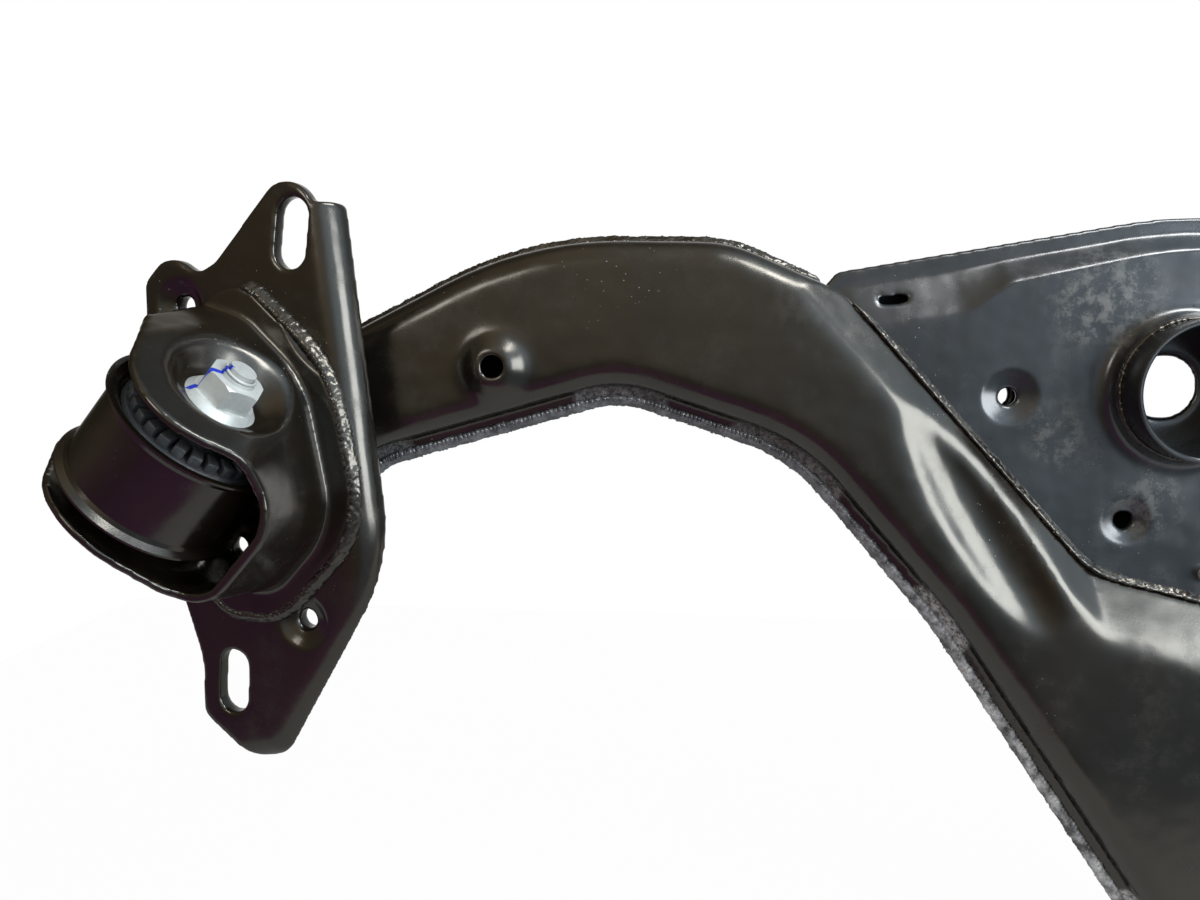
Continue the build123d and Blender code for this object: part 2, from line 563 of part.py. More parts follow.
def build():
    pieces = {
        "arm_front_shell": ARM * arm_front_shell(),
        "arm_rear_shell": ARM * arm_rear_shell(),
        "hub_front_plate": ARM * hub_front_plate(),
        "hub_rear_plate": ARM * hub_rear_plate(),
        "hub_tube": ARM * hub_tube(),
        "hub_tube_weld": ARM * hub_tube_weld(),
        "hub_stud": ARM * hub_stud(),
        "link_sleeve": ARM * link_sleeve(),
        "link_sleeve_weld": ARM * link_sleeve_weld(),
        "bush_housing": BUSH * bush_housing(),
        "bush_outer_sleeve": BUSH * bush_outer_sleeve(),
        "bush_rubber": BUSH * bush_rubber(),
        "inner_sleeve": BUSH * inner_sleeve(),
        "pivot_bolt": BUSH * pivot_bolt(),
        "flange_nut": BUSH * flange_nut(),
        "bush_neck": bush_neck(),
        "bush_clevis": CLEVIS * bush_clevis(),
        "clevis_weld": CLEVIS * clevis_weld(),
        "mounting_plate": PLATE * mounting_plate(),
    }
    pieces.update({name: ARM * weld for name, weld in seam_welds().items()})
    pieces.update(neck_welds())
    return pieces


os.makedirs("parts", exist_ok=True)
for node, shape in build().items():
    export_step(shape, f"parts/{node}.step")
    print(node, len(shape.solids()), "solid(s)", round(shape.volume / 1000, 1), "cm3")
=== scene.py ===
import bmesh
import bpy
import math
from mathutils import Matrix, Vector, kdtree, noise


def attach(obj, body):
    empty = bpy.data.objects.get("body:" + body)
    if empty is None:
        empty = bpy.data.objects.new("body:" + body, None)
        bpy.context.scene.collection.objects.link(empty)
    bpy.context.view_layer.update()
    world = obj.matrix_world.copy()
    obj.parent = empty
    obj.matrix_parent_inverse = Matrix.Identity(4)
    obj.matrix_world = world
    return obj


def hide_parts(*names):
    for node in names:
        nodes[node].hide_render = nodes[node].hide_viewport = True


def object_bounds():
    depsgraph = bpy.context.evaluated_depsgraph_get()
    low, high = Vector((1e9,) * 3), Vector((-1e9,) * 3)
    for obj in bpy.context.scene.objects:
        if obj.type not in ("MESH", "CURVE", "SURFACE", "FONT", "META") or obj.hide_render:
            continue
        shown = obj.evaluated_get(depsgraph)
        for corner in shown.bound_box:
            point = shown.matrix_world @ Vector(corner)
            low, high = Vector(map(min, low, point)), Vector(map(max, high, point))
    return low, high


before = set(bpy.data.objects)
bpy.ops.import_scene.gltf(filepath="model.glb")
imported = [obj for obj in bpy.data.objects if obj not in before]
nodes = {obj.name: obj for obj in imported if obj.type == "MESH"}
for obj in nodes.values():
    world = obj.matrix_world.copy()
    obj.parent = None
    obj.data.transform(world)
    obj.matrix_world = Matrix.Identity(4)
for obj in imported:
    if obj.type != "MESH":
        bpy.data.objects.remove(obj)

# %% [markdown]
# A rear wheel carrier on white: a pressed and welded trailing arm in gloss black dip paint, with
# its hub tube, its rubber front bush and the bracket that the bush pivots in. The CAD model gives
# every piece its place. This script remakes the pieces whose surface is soft, toothed or rough,
# and gives every piece its finish.

cad_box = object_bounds()
MM = 0.001
MERGE = 1e-6
CARRIER, BRACKET = "carrier", "bracket"
WHITE = (1, 1, 1, 1)
print("CAD box", cad_box)


def placed(title, data):
    """A new object in the scene that holds a mesh, a lamp or a camera."""
    obj = bpy.data.objects.new(title, data)
    bpy.context.scene.collection.objects.link(obj)
    return obj


# %% [markdown]
# The camera stands where the photographer stood, less than half a metre from the arm and a little
# above the hub, so near edges look larger than far ones. The rows of its turn are the part's own
# axes as the camera sees them, with the camera's Z towards the viewer. That is how a solved view
# is easiest to write down: the hub plate's normal comes almost straight at the lens.

# %% Camera
LENS_MM = 27.0
SENSOR_MM = 36.0
NEAR_CUT = 0.01
EYE = Vector((-0.2187, -0.4243, 0.0213))
HUB_NORMAL = Vector((-0.10, -0.12, 0.988)).normalized()
across = (Vector((1, 0, 0)) - HUB_NORMAL * HUB_NORMAL.x).normalized()
upward = HUB_NORMAL.cross(across)

camera_data = bpy.data.cameras.new("camera")
camera_data.lens = LENS_MM
camera_data.sensor_width = SENSOR_MM
camera_data.clip_start = NEAR_CUT
camera = placed("camera", camera_data)
camera.matrix_world = Matrix.Translation(EYE) @ Matrix((across, -HUB_NORMAL, upward)).to_4x4()
bpy.context.scene.camera = camera
print("camera at", tuple(EYE), "lens", LENS_MM)

# %% [markdown]
# The bush lies at a slant in its bracket, so it has its own frame: Z runs along the bolt towards
# the nut, and Y points straight off the bracket's plate.

# %% Bush frame
PIVOT = Vector((-0.4274, -0.0765, -0.0257))
TILT = math.radians(10.0)
LEAN = math.radians(46.9)
plate_across = Vector((math.cos(TILT), -math.sin(TILT), 0))
off_plate = Vector((-math.sin(TILT), -math.cos(TILT), 0))
bolt_axis = plate_across * math.cos(LEAN) + Vector((0, 0, 1)) * math.sin(LEAN)
to_open_side = off_plate.cross(bolt_axis)
bush_turn = Matrix((to_open_side, off_plate, bolt_axis)).transposed()
BUSH = Matrix.Translation(PIVOT) @ bush_turn.to_4x4()
TO_BUSH = BUSH.inverted()
print("bolt axis", tuple(bolt_axis))

# %% [markdown]
# Node trees read better as formulas. One small class holds one output of one node, and each
# operator on it adds the Math node that does the sum.

# %% One output of a node
class Value:
    """One output socket of a node, which can be added, multiplied and so on."""

    def __init__(self, graph, socket):
        self.graph = graph
        self.socket = socket

    def _math(self, operation, *others):
        return self.graph.add("ShaderNodeMath", {"operation": operation}, *others)

    def __add__(self, other):
        return self._math("ADD", self, other)

    def __sub__(self, other):
        return self._math("SUBTRACT", self, other)

    def __rsub__(self, other):
        return self._math("SUBTRACT", other, self)

    def __mul__(self, other):
        return self._math("MULTIPLY", self, other)

    def largest(self, other):
        return self._math("MAXIMUM", self, other)

    def size(self):
        return self._math("ABSOLUTE", self)

    def clamped(self):
        return self.graph.add("ShaderNodeClamp", {}, self)

    __radd__ = __add__
    __rmul__ = __mul__


# %% [markdown]
# A second class holds the tree and adds any other node. Shaders, the world and the Geometry Nodes
# all use these two, so a node is written the same way everywhere.

# %% A tree of nodes
class Graph:
    """A node tree. Its add method takes settings first, then sockets by order or by name."""

    def __init__(self, tree):
        self.tree = tree

    def add(self, kind, settings, *values, output=0, **named):
        node = self.tree.nodes.new(kind)
        for key, value in settings.items():
            setattr(node, key, value)
        for place, value in enumerate(values):
            if value is not None:
                self.feed(node.inputs[place], value)
        for key, value in named.items():
            self.feed(node.inputs[key], value)
        return Value(self, node.outputs[output])

    def feed(self, socket, value):
        if isinstance(value, Value):
            self.tree.links.new(value.socket, socket)
        else:
            socket.default_value = value

    def axes(self, vector):
        """The x, y and z of a vector."""
        return [self.add("ShaderNodeSeparateXYZ", {}, vector, output=n) for n in range(3)]

    def ramp(self, value, low, high, bottom=0.0, top=1.0):
        """A value that goes smoothly from bottom at low to top at high."""
        smooth = {"interpolation_type": "SMOOTHSTEP"}
        return self.add("ShaderNodeMapRange", smooth, value, low, high, bottom, top)

    def mix(self, factor, first, second):
        """A colour between two others."""
        unused = [None] * 5
        return self.add("ShaderNodeMix", {"data_type": "RGBA"}, factor, *unused, first, second,
                        output=2)


# %% [markdown]
# A material is such a tree with a Principled shader at its end. Its patterns read Object
# coordinates, in metres, so they stay on the piece when it moves.

# %% A material
FINISH = "_finish"
CORE_SHARE = 0.3


class Shader(Graph):
    """One material's node tree, with a Principled shader at its end."""

    def __init__(self, slot):
        self.material = bpy.data.materials.new(slot + FINISH)
        self.material.use_nodes = True
        super().__init__(self.material.node_tree)
        self.main = self.tree.nodes["Principled BSDF"]
        self.place = self.add("ShaderNodeTexCoord", {}, output="Object")

    def noise(self, scale, detail=2.0, roughness=0.5):
        return self.add("ShaderNodeTexNoise", {}, self.place, Scale=scale, Detail=detail,
                        Roughness=roughness)

    def bump(self, height, strength, distance):
        """Feeds the normal from a height."""
        normal = self.add("ShaderNodeBump", {}, Strength=strength, Distance=distance,
                          Height=height, output="Normal")
        self.feed(self.main.inputs["Normal"], normal)

    def nearness(self, spot, reach):
        """A mask that is 1 round a spot of the object and fades to 0 at the reach from it."""
        gap = self.add("ShaderNodeVectorMath", {"operation": "DISTANCE"}, self.place, spot,
                       output="Value")
        return self.ramp(gap, reach, reach * CORE_SHARE)

    def coloured(self, colour, rough):
        """Feeds the base colour and the roughness, and gives the finished material."""
        self.feed(self.main.inputs["Base Color"], colour)
        self.feed(self.main.inputs["Roughness"], rough)
        return self.material


# %% [markdown]
# The paint is a black dip coat with a deep gloss. Three things keep it from looking like plastic:
# the coat is a little thicker and browner in places, it has a fine orange peel, and dust and grit
# were caught in it. A plain gloss black would show none of them. On the arm's lower flange and
# its seam weld the rough metal is painted pale, more so towards the tail: partly bare metal where
# the coat has gone, and partly a painted highlight along the bead. The names that end in EDGES
# hold where a pattern starts and where it is full.

# %% Numbers of the paint
CLOUD_EDGES = (0.34, 0.68)
COAT_MIRROR = 1.0
COAT_GRAIN, GRAIN_HEIGHT = 1400.0, 0.02
COAT_FLOW, FLOW_HEIGHT = 30.0, 0.45
GRIT_SIZE, GRIT_EDGES, GRIT_HEIGHT, GRIT_ROUGH = 330.0, (0.13, 0.06), 0.05, 0.3
CLUSTER_SIZE, CLUSTER_EDGES = 22.0, (0.55, 0.72)
GRIT_COLOUR = (0.42, 0.42, 0.40, 1)
SMEAR_SIZE, SMEAR_EDGES, SMEAR_ROUGH = 50.0, (0.46, 0.74), 0.14
SMUDGE_SIZE, SMUDGE_EDGES, SMUDGE_ROUGH = 120.0, (0.44, 0.62), 0.35
SMUDGE_COLOUR = (0.17, 0.17, 0.15, 1)
SEAM = "seam"
# The seam's pale colour: partly bare metal, partly a painted highlight, lighter towards the tail.
BARE_AND_LIT_EDGES, LEAST_BARE_AND_LIT = (-0.18, -0.06), 0.15
BARE_METAL_AND_HIGHLIGHT = (0.80, 0.80, 0.82, 1)
CRUST_SIZE, CRUST_EDGES, CRUST_SPAN, LEAST_CRUST = 520.0, (0.40, 0.60), 0.85, 0.15
CRUST_ROUGH, CRUST_RELIEF, CRUST_HEIGHT = 0.05, 600.0, 0.3
print("paint patterns a metre:", COAT_GRAIN, COAT_FLOW, GRIT_SIZE, SMEAR_SIZE)


# %% Gloss dip paint
def bareness_and_highlight(s):
    """How pale the lower seam is painted, as bare metal and as a painted highlight: least at the
    bush's end, full at the tail.
    """
    x = s.add("ShaderNodeSeparateXYZ", {}, s.place)
    return s.ramp(x, *BARE_AND_LIT_EDGES, LEAST_BARE_AND_LIT, 1.0)


def paint(name, dark, light, gloss, peel=0.4, grit=0.5, smudges=(), patches=14.0, seam=False,
          bared_and_lit=False, mirror_tint=WHITE):
    """Gloss paint over pressed steel: dark and light are the two ends of its cloudy colour."""
    s = Shader(name)
    cloud = s.ramp(s.noise(patches, 4.0, 0.6), *CLOUD_EDGES)
    if bared_and_lit:
        cloud = cloud * bareness_and_highlight(s)
    colour = s.mix(cloud, dark, light)
    cells = s.add("ShaderNodeTexVoronoi", {}, s.place, Scale=GRIT_SIZE, Randomness=1.0)
    clusters = s.ramp(s.noise(CLUSTER_SIZE, 3.0), *CLUSTER_EDGES)
    speck = s.ramp(cells, *GRIT_EDGES) * clusters * grit
    colour = s.mix(speck.clamped(), colour, GRIT_COLOUR)
    smear = s.ramp(s.noise(SMEAR_SIZE, 6.0, 0.68), *SMEAR_EDGES)
    rough = smear * SMEAR_ROUGH + speck * GRIT_ROUGH + gloss
    for spot, reach, amount in smudges:
        dust = s.ramp(s.noise(SMUDGE_SIZE, 6.0, 0.75), *SMUDGE_EDGES)
        dull = s.nearness(spot, reach) * dust * amount
        colour = s.mix(dull.clamped(), colour, SMUDGE_COLOUR)
        rough = rough + dull * SMUDGE_ROUGH
    height = s.noise(COAT_FLOW) * FLOW_HEIGHT + s.noise(COAT_GRAIN) * (peel * GRAIN_HEIGHT)
    height = height + speck * GRIT_HEIGHT
    if seam:
        band = s.add("ShaderNodeAttribute", {"attribute_name": SEAM}, output="Fac")
        crust = s.ramp(s.noise(CRUST_SIZE, 5.0, 0.75), *CRUST_EDGES) * CRUST_SPAN + LEAST_CRUST
        # The seam band is painted pale: bare metal and a painted highlight.
        colour = s.mix((band * bareness_and_highlight(s) * crust).clamped(), colour, BARE_METAL_AND_HIGHLIGHT)
        rough = rough + band * CRUST_ROUGH
        height = height + band * s.noise(CRUST_RELIEF, 4.0, 0.7) * CRUST_HEIGHT
    s.main.inputs["Specular IOR Level"].default_value = COAT_MIRROR
    s.main.inputs["Specular Tint"].default_value = mirror_tint
    s.bump(height, 0.5, 0.004)
    return s.coloured(colour, rough.clamped())


# %% The paints of the bracket, the arm and the hub
HUB_SMUDGES = [((-0.036, 0.0, 0.040), 0.032, 0.5), ((-0.052, 0.0, -0.020), 0.022, 0.35),
               ((-0.012, 0.0, -0.052), 0.022, 0.35)]
ARM_SMUDGES = [((0.04, -0.004, -0.128), 0.04, 0.25), ((-0.165, -0.012, 0.04), 0.03, 0.08)]
bracket_paint = paint("bracket_paint", (0.004, 0.003, 0.002, 1), (0.010, 0.007, 0.004, 1),
                      gloss=0.19, mirror_tint=(1.0, 0.95, 0.85, 1))
arm_paint = paint("arm_paint", (0.005, 0.004, 0.003, 1), (0.012, 0.009, 0.006, 1), gloss=0.21,
                  smudges=ARM_SMUDGES, seam=True, mirror_tint=(1.0, 0.95, 0.84, 1))
# The hub's paint is paler and bluer than the arm's: a painted reflection of the cool window light
# at its right.
hub_paint = paint("hub_paint", (0.008, 0.009, 0.010, 1), (0.022, 0.026, 0.028, 1), gloss=0.21,
                  smudges=HUB_SMUDGES)
print("paints", bracket_paint.name, arm_paint.name, hub_paint.name)

# %% [markdown]
# A pressed sheet has no sharp line anywhere: metal drawn over a die flows round every fold. The
# CAD shells are exact, but their mesh is loose flat triangles, and a gloss coat shows each one.
# So each pressing is copied, joined, rebuilt as small even faces, and relaxed until its folds are
# soft.

# %% Copies with small even faces
def merged_copy(names, title):
    """One new mesh object from the triangles of one or more CAD nodes."""
    bm = bmesh.new()
    for name in names:
        bm.from_mesh(nodes[name].data)
    bmesh.ops.remove_doubles(bm, verts=bm.verts, dist=MERGE)
    mesh = bpy.data.meshes.new(title)
    bm.to_mesh(mesh)
    bm.free()
    return placed(title, mesh)


def apply_modifiers(obj):
    """Turns what the modifiers make into the object's plain mesh."""
    graph = bpy.context.evaluated_depsgraph_get()
    mesh = bpy.data.meshes.new_from_object(obj.evaluated_get(graph))
    obj.modifiers.clear()
    obj.data = mesh
    return obj


def even_faces(obj, voxel):
    """Rebuilds a closed mesh as small squares of one size, in millimetres."""
    remesh = obj.modifiers.new("even faces", "REMESH")
    remesh.mode = "VOXEL"
    remesh.voxel_size = voxel * MM
    return apply_modifiers(obj)


def smooth_step(obj, amount, rounds, group=""):
    """One Smooth modifier, which is inwards for a positive amount and outwards for a negative."""
    step = obj.modifiers.new("smooth", "SMOOTH")
    step.factor = amount
    step.iterations = rounds
    step.vertex_group = group


INWARDS, OUTWARDS = 0.5, -0.53


def soften(obj, rounds, group=""):
    smooth_step(obj, INWARDS, rounds, group)


def relax(obj, rounds):
    """Smooths with little shrinking: each soft step inwards is followed by one outwards."""
    for _ in range(rounds):
        smooth_step(obj, INWARDS, 1)
        smooth_step(obj, OUTWARDS, 1)
    return apply_modifiers(obj)


# %% What every new piece ends with
def finished(obj, material, body, names=()):
    """Its finish, its body, and the CAD nodes that it stands for, if it stands for any."""
    obj.data.shade_smooth()
    obj.data.materials.clear()
    obj.data.materials.append(material)
    if names:
        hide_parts(*names)
    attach(obj, body)
    obj.data.calc_loop_triangles()
    print(obj.name, len(obj.data.loop_triangles), "triangles")


# %% [markdown]
# The arm's shoulder beside the hub was drawn over a die with a very round edge, and so was the
# hollow beside it. The bolt's seats in the clevis are dished just as softly. A vertex group marks
# a band along them, which is relaxed much more than the rest of its sheet. Points are in
# millimetres here.

# %% Where the folds are softest
ROUND_BEHIND = -4.0
DOME_CENTRE = Vector((-309.2, 9.6))
DOME_HOLE, DOME_FOOT, DOME_SOFTNESS = 6.6, 21.0, 0.3
SHOULDER = [Vector(p) for p in ((-167, 27), (-105, -48), (-47, -112))]
LOWER_SLOPE = [Vector(p) for p in ((-47, -112), (0, -126), (90, -144))]
SWAGE_RIM = [Vector(p) for p in ((-128, 8), (-112, -38), (-84, -80), (-52, -114))]
SWAGE_RIDGE = [Vector(p) for p in ((-120, 2), (-88, -30), (-62, -72), (-50, -108))]
ARM_BANDS = [(SHOULDER, 18.0), (LOWER_SLOPE, 30.0), (SWAGE_RIM, 10.0), (SWAGE_RIDGE, 9.0)]
BAND_PEAK = 1.6
SEAT_MIDDLE, SEAT_REACH, SEAT_FADE, EAR_INSIDE = 24.0, 9.0, 3.0, 24.0


def gap_to_line(point, line):
    """How far a point of the arm's face (x, z) is from a line of corners."""
    best = math.inf
    for start, end in zip(line, line[1:]):
        run = end - start
        along = max(0.0, min(1.0, (point - start).dot(run) / run.length_squared))
        best = min(best, (start + run * along - point).length)
    return best


def on_arm_shoulder(point):
    """High in bands on the arm's face: along its shoulder and along the rims of its hollow."""
    if point.y > ROUND_BEHIND:
        return 0.0
    face_point = Vector((point.x, point.z))
    if DOME_HOLE < (face_point - DOME_CENTRE).length < DOME_FOOT:
        return DOME_SOFTNESS
    return max(BAND_PEAK - BAND_PEAK * gap_to_line(face_point, line) / half_width
               for line, half_width in ARM_BANDS)


def round_bolt_seat(point):
    """High in a ring round the bolt's seat on both ears of the clevis."""
    x, y, z = TO_BUSH @ (point * MM)
    ring = abs(math.hypot(x, y) / MM - SEAT_MIDDLE)
    return (SEAT_REACH - ring) / SEAT_FADE if abs(z) / MM > EAR_INSIDE else 0.0


def round_zone(obj, weight_at, rounds):
    """Softens a sheet more where the weight of a point is high."""
    group = obj.vertex_groups.new(name="round")
    for vertex in obj.data.vertices:
        weight = weight_at(vertex.co / MM)
        if weight > 0:
            group.add([vertex.index], min(1.0, weight), "REPLACE")
    soften(obj, rounds, group.name)


# %% [markdown]
# The flange under the arm is buried in weld, which leaves it lumpy and partly bare. A separate
# crust would need an edge of its own. Instead the sheet itself is pushed out in lumps near the
# bead, and an attribute on its points tells the paint how near the bead it is, where the paint
# makes it pale as bare metal and as a painted highlight. All new places are worked out before any
# point moves, because a moved point makes Blender work out every normal again.

# %% Crusted seam
SEAM_FRONT, SEAM_BACK = -4.5, 7.0
SEAM_REACH, SEAM_FADE = 9.0, 2.0
LUMPS_PER_METRE, LUMP_HEIGHT = 330.0, 0.0008
FINER, FINE_SHARE = 2.3, 0.5


def points_of(names):
    """A search tree of all points of some CAD nodes."""
    beads = merged_copy(names, "beads")
    tree = kdtree.KDTree(len(beads.data.vertices))
    for vertex in beads.data.vertices:
        tree.insert(vertex.co, vertex.index)
    tree.balance()
    bpy.data.objects.remove(beads)
    return tree


def crusted_seam(obj, names):
    """Roughens a band of a sheet's flange beside the nodes named."""
    tree = points_of(names)
    band = obj.data.attributes.new(SEAM, "FLOAT", "POINT")
    places = [vertex.co.copy() for vertex in obj.data.vertices]
    for vertex in obj.data.vertices:
        if not SEAM_FRONT < vertex.co.y / MM < SEAM_BACK:
            continue
        gap = tree.find(vertex.co)[2] / MM
        weight = max(0.0, min(1.0, (SEAM_REACH - gap) / SEAM_FADE))
        band.data[vertex.index].value = weight
        lump = noise.noise(vertex.co * LUMPS_PER_METRE)
        lump = lump + FINE_SHARE * noise.noise(vertex.co * LUMPS_PER_METRE * FINER)
        places[vertex.index] += vertex.normal * (lump * weight * LUMP_HEIGHT)
    for vertex, place in zip(obj.data.vertices, places):
        vertex.co = place


# %% [markdown]
# Six pressings are remade. The small squares of a rebuilt mesh lie along the axes, and an edge at
# a slant to them comes out rippled. So the clevis and the plate are turned square before they are
# rebuilt and turned back after.

# %% The six pressings
EXTRA_ROUND = {"arm_front": (on_arm_shoulder, 90), "clevis": (round_bolt_seat, 60)}
SQUARE_TO = {"clevis": TO_BUSH, "plate": Matrix.Rotation(TILT, 4, "Z")}
CRUSTED = {"arm_front": ["arm_lower_weld"]}
# title: CAD nodes, paint, body, voxel in mm, rounds of softening, rounds of relaxing
SHEETS = {
    "arm_front": (["arm_front_shell"], arm_paint, CARRIER, 1.38, 9, 9),
    "arm_rear": (["arm_rear_shell"], arm_paint, CARRIER, 1.6, 7, 6),
    "hub_front": (["hub_front_plate"], hub_paint, CARRIER, 1.1, 10, 9),
    "hub_rear": (["hub_rear_plate"], hub_paint, CARRIER, 1.6, 6, 6),
    "clevis": (["bush_clevis"], bracket_paint, BRACKET, 1.0, 12, 20),
    "plate": (["mounting_plate"], bracket_paint, BRACKET, 0.95, 16, 40),
}
for title, (names, material, body, voxel, soft_rounds, relax_rounds) in SHEETS.items():
    sheet = merged_copy(names, title)
    square = SQUARE_TO.get(title, Matrix.Identity(4))
    sheet.data.transform(square)
    even_faces(sheet, voxel)
    sheet.data.transform(square.inverted())
    if title in EXTRA_ROUND:
        round_zone(sheet, *EXTRA_ROUND[title])
    soften(sheet, soft_rounds)
    relax(sheet, relax_rounds)
    if title in CRUSTED:
        crusted_seam(sheet, CRUSTED[title])
    finished(sheet, material, body, names)

# %% [markdown]
# What repeats on this part, such as rubber blocks, weld spatter and the thread's turns, is grown
# by Geometry Nodes. One class builds such a tree with named inputs for its sizes, so that each of
# them can be changed without reading the tree, and then leaves a plain mesh.

# %% Geometry Nodes as formulas
class Growth(Graph):
    """A Geometry Nodes tree whose sizes are its named inputs."""

    def __init__(self, name, sizes):
        super().__init__(bpy.data.node_groups.new(name, "GeometryNodeTree"))
        face = self.tree.interface
        face.new_socket("Geometry", in_out="INPUT", socket_type="NodeSocketGeometry")
        self.sizes = {}
        for title, value in sizes.items():
            kind = "NodeSocketInt" if isinstance(value, int) else "NodeSocketFloat"
            socket = face.new_socket(title, in_out="INPUT", socket_type=kind)
            self.sizes[socket.identifier] = value
        face.new_socket("Geometry", in_out="OUTPUT", socket_type="NodeSocketGeometry")
        self.start = self.tree.nodes.new("NodeGroupInput")
        self.end = self.tree.nodes.new("NodeGroupOutput")

    def given(self, title="Geometry"):
        return Value(self, self.start.outputs[title])

    def join(self, *parts):
        node = self.tree.nodes.new("GeometryNodeJoinGeometry")
        for part in parts:
            self.tree.links.new(part.socket, node.inputs[0])
        return Value(self, node.outputs[0])

    def vector(self, x, y, z):
        return self.add("ShaderNodeCombineXYZ", {}, x, y, z)

    def raised(self, geometry, height):
        """Geometry moved along Z."""
        return self.add("GeometryNodeTransform", {}, geometry,
                        Translation=self.vector(0.0, 0.0, height))

    def between(self, low, high):
        """A random number for each point, from a fixed seed."""
        return self.add("FunctionNodeRandomValue", {"data_type": "FLOAT"}, None, None, low, high,
                        Seed=self.given("Seed"), output=1)

    def close(self, geometry, material):
        solid = self.add("GeometryNodeRealizeInstances", {}, geometry)
        painted = self.add("GeometryNodeSetMaterial", {}, solid, Material=material)
        self.tree.links.new(painted.socket, self.end.inputs[0])
        return self

    def grow(self, obj):
        """Sets the sizes, runs the tree on an object and leaves a plain mesh."""
        step = obj.modifiers.new(self.tree.name, "NODES")
        step.node_group = self.tree
        for identifier, value in self.sizes.items():
            step[identifier] = value
        return apply_modifiers(obj)


# %% [markdown]
# Moulded rubber is dull and dark grey, with a fine grain and pale dust in patches. Noise at two
# sizes is enough for both.

# %% Rubber finish
RUBBER_DARK, RUBBER_DUSTY = (0.06, 0.062, 0.064, 1), (0.17, 0.17, 0.17, 1)
RUBBER_GRAIN, DUST_SIZE, DUST_EDGES, DUST_SHARE = 700.0, 160.0, (0.5, 0.75), 0.5
RUBBER_ROUGH, GRAIN_ROUGH = 0.36, 0.2


def moulded_rubber(name):
    s = Shader(name)
    grain = s.noise(RUBBER_GRAIN, 4.0)
    dust = s.ramp(s.noise(DUST_SIZE, 4.0, 0.7), *DUST_EDGES)
    s.bump(grain, 0.4, 0.0004)
    return s.coloured(s.mix(dust * DUST_SHARE, RUBBER_DARK, RUBBER_DUSTY),
                      grain * GRAIN_ROUGH + RUBBER_ROUGH)


bush_rubber = moulded_rubber("bush_rubber")
print("rubber", bush_rubber.name)

# %% [markdown]
# The bush's rubber has a thick ring with a row of stiff blocks round each end, which touch the
# clevis when the arm is pushed sideways. The plain body is a profile turned about the bolt: only
# the upper half of its section is written, and the lower half is its mirror image.

# %% Body of the rubber
RUBBER_R, RUBBER_HALF = 0.032, 0.0175
RING_R, RING_SLOPE = 0.0225, 0.0005
BORE_R, BOSS_R, BOSS_HALF = 0.01105, 0.017, 0.0235
WEB_HALF = 0.016
BOSS_EDGE, OUTER_EDGE, OUTER_GAP = 0.001, 0.0012, 0.0002
HALF_PROFILE = [
    (BORE_R, 0.0), (BORE_R, BOSS_HALF), (BOSS_R - BOSS_EDGE, BOSS_HALF),
    (BOSS_R, BOSS_HALF - BOSS_EDGE), (BOSS_R, WEB_HALF), (RING_R, WEB_HALF),
    (RING_R + RING_SLOPE, RUBBER_HALF), (RUBBER_R - OUTER_EDGE, RUBBER_HALF),
    (RUBBER_R - OUTER_GAP, RUBBER_HALF - OUTER_EDGE),
]


def turned(title, half_profile, steps=96):
    """A closed ring turned about Z from the upper half of its section, moved to the bush."""
    corners = half_profile + [(r, -z) for r, z in reversed(half_profile) if z > 0]
    bm = bmesh.new()
    ring = [bm.verts.new((r, 0, z)) for r, z in corners]
    edges = [bm.edges.new((a, b)) for a, b in zip(ring, ring[1:] + ring[:1])]
    bmesh.ops.spin(bm, geom=ring + edges, axis=(0, 0, 1), angle=math.tau, steps=steps,
                   use_merge=False)
    bmesh.ops.remove_doubles(bm, verts=bm.verts, dist=MERGE)
    bmesh.ops.recalc_face_normals(bm, faces=bm.faces)
    mesh = bpy.data.meshes.new(title)
    bm.to_mesh(mesh)
    bm.free()
    mesh.transform(BUSH)
    return placed(title, mesh)


# %% [markdown]
# A block is one small box, and Geometry Nodes set it round a circle at both ends, so their number
# and size are easy to change. Each block differs from the next by a few percent in length and
# height, as moulded rubber does. A small bevel catches the light on their edges.

# %% Blocks of the rubber
BLOCK_SIZES = {"Blocks": 28, "Ring Radius": 0.0273, "Block Length": 0.0047,
               "Block Width": 0.0066, "Block Height": 0.007, "End Height": 0.0185, "Seed": 3}
LENGTH_SPREAD, HEIGHT_SPREAD = (0.93, 1.03), (0.94, 1.04)
BLOCK_BEVEL = 0.0006


def block_ring(material):
    """Rubber blocks round both ends of a bush that lies along Z at the origin."""
    g = Growth("bush blocks", BLOCK_SIZES)
    circle = g.add("GeometryNodeMeshCircle", {}, Vertices=g.given("Blocks"),
                   Radius=g.given("Ring Radius"))
    box = g.vector(g.given("Block Width"), g.given("Block Length"), g.given("Block Height"))
    block = g.add("GeometryNodeMeshCube", {}, box)
    turn = g.add("GeometryNodeInputIndex", {}) * math.tau
    turn = g.add("ShaderNodeMath", {"operation": "DIVIDE"}, turn, g.given("Blocks"))
    size = g.vector(1.0, g.between(*LENGTH_SPREAD), g.between(*HEIGHT_SPREAD))
    ring = g.add("GeometryNodeInstanceOnPoints", {}, circle, None, block,
                 Rotation=g.vector(0.0, 0.0, turn), Scale=size)
    ends = [g.raised(ring, g.given("End Height") * side) for side in (1.0, -1.0)]
    return g.close(g.join(*ends), material)


def bevelled(obj, width, segments=2):
    step = obj.modifiers.new("bevel", "BEVEL")
    step.width = width
    step.segments = segments
    step.limit_method = "ANGLE"
    return apply_modifiers(obj)


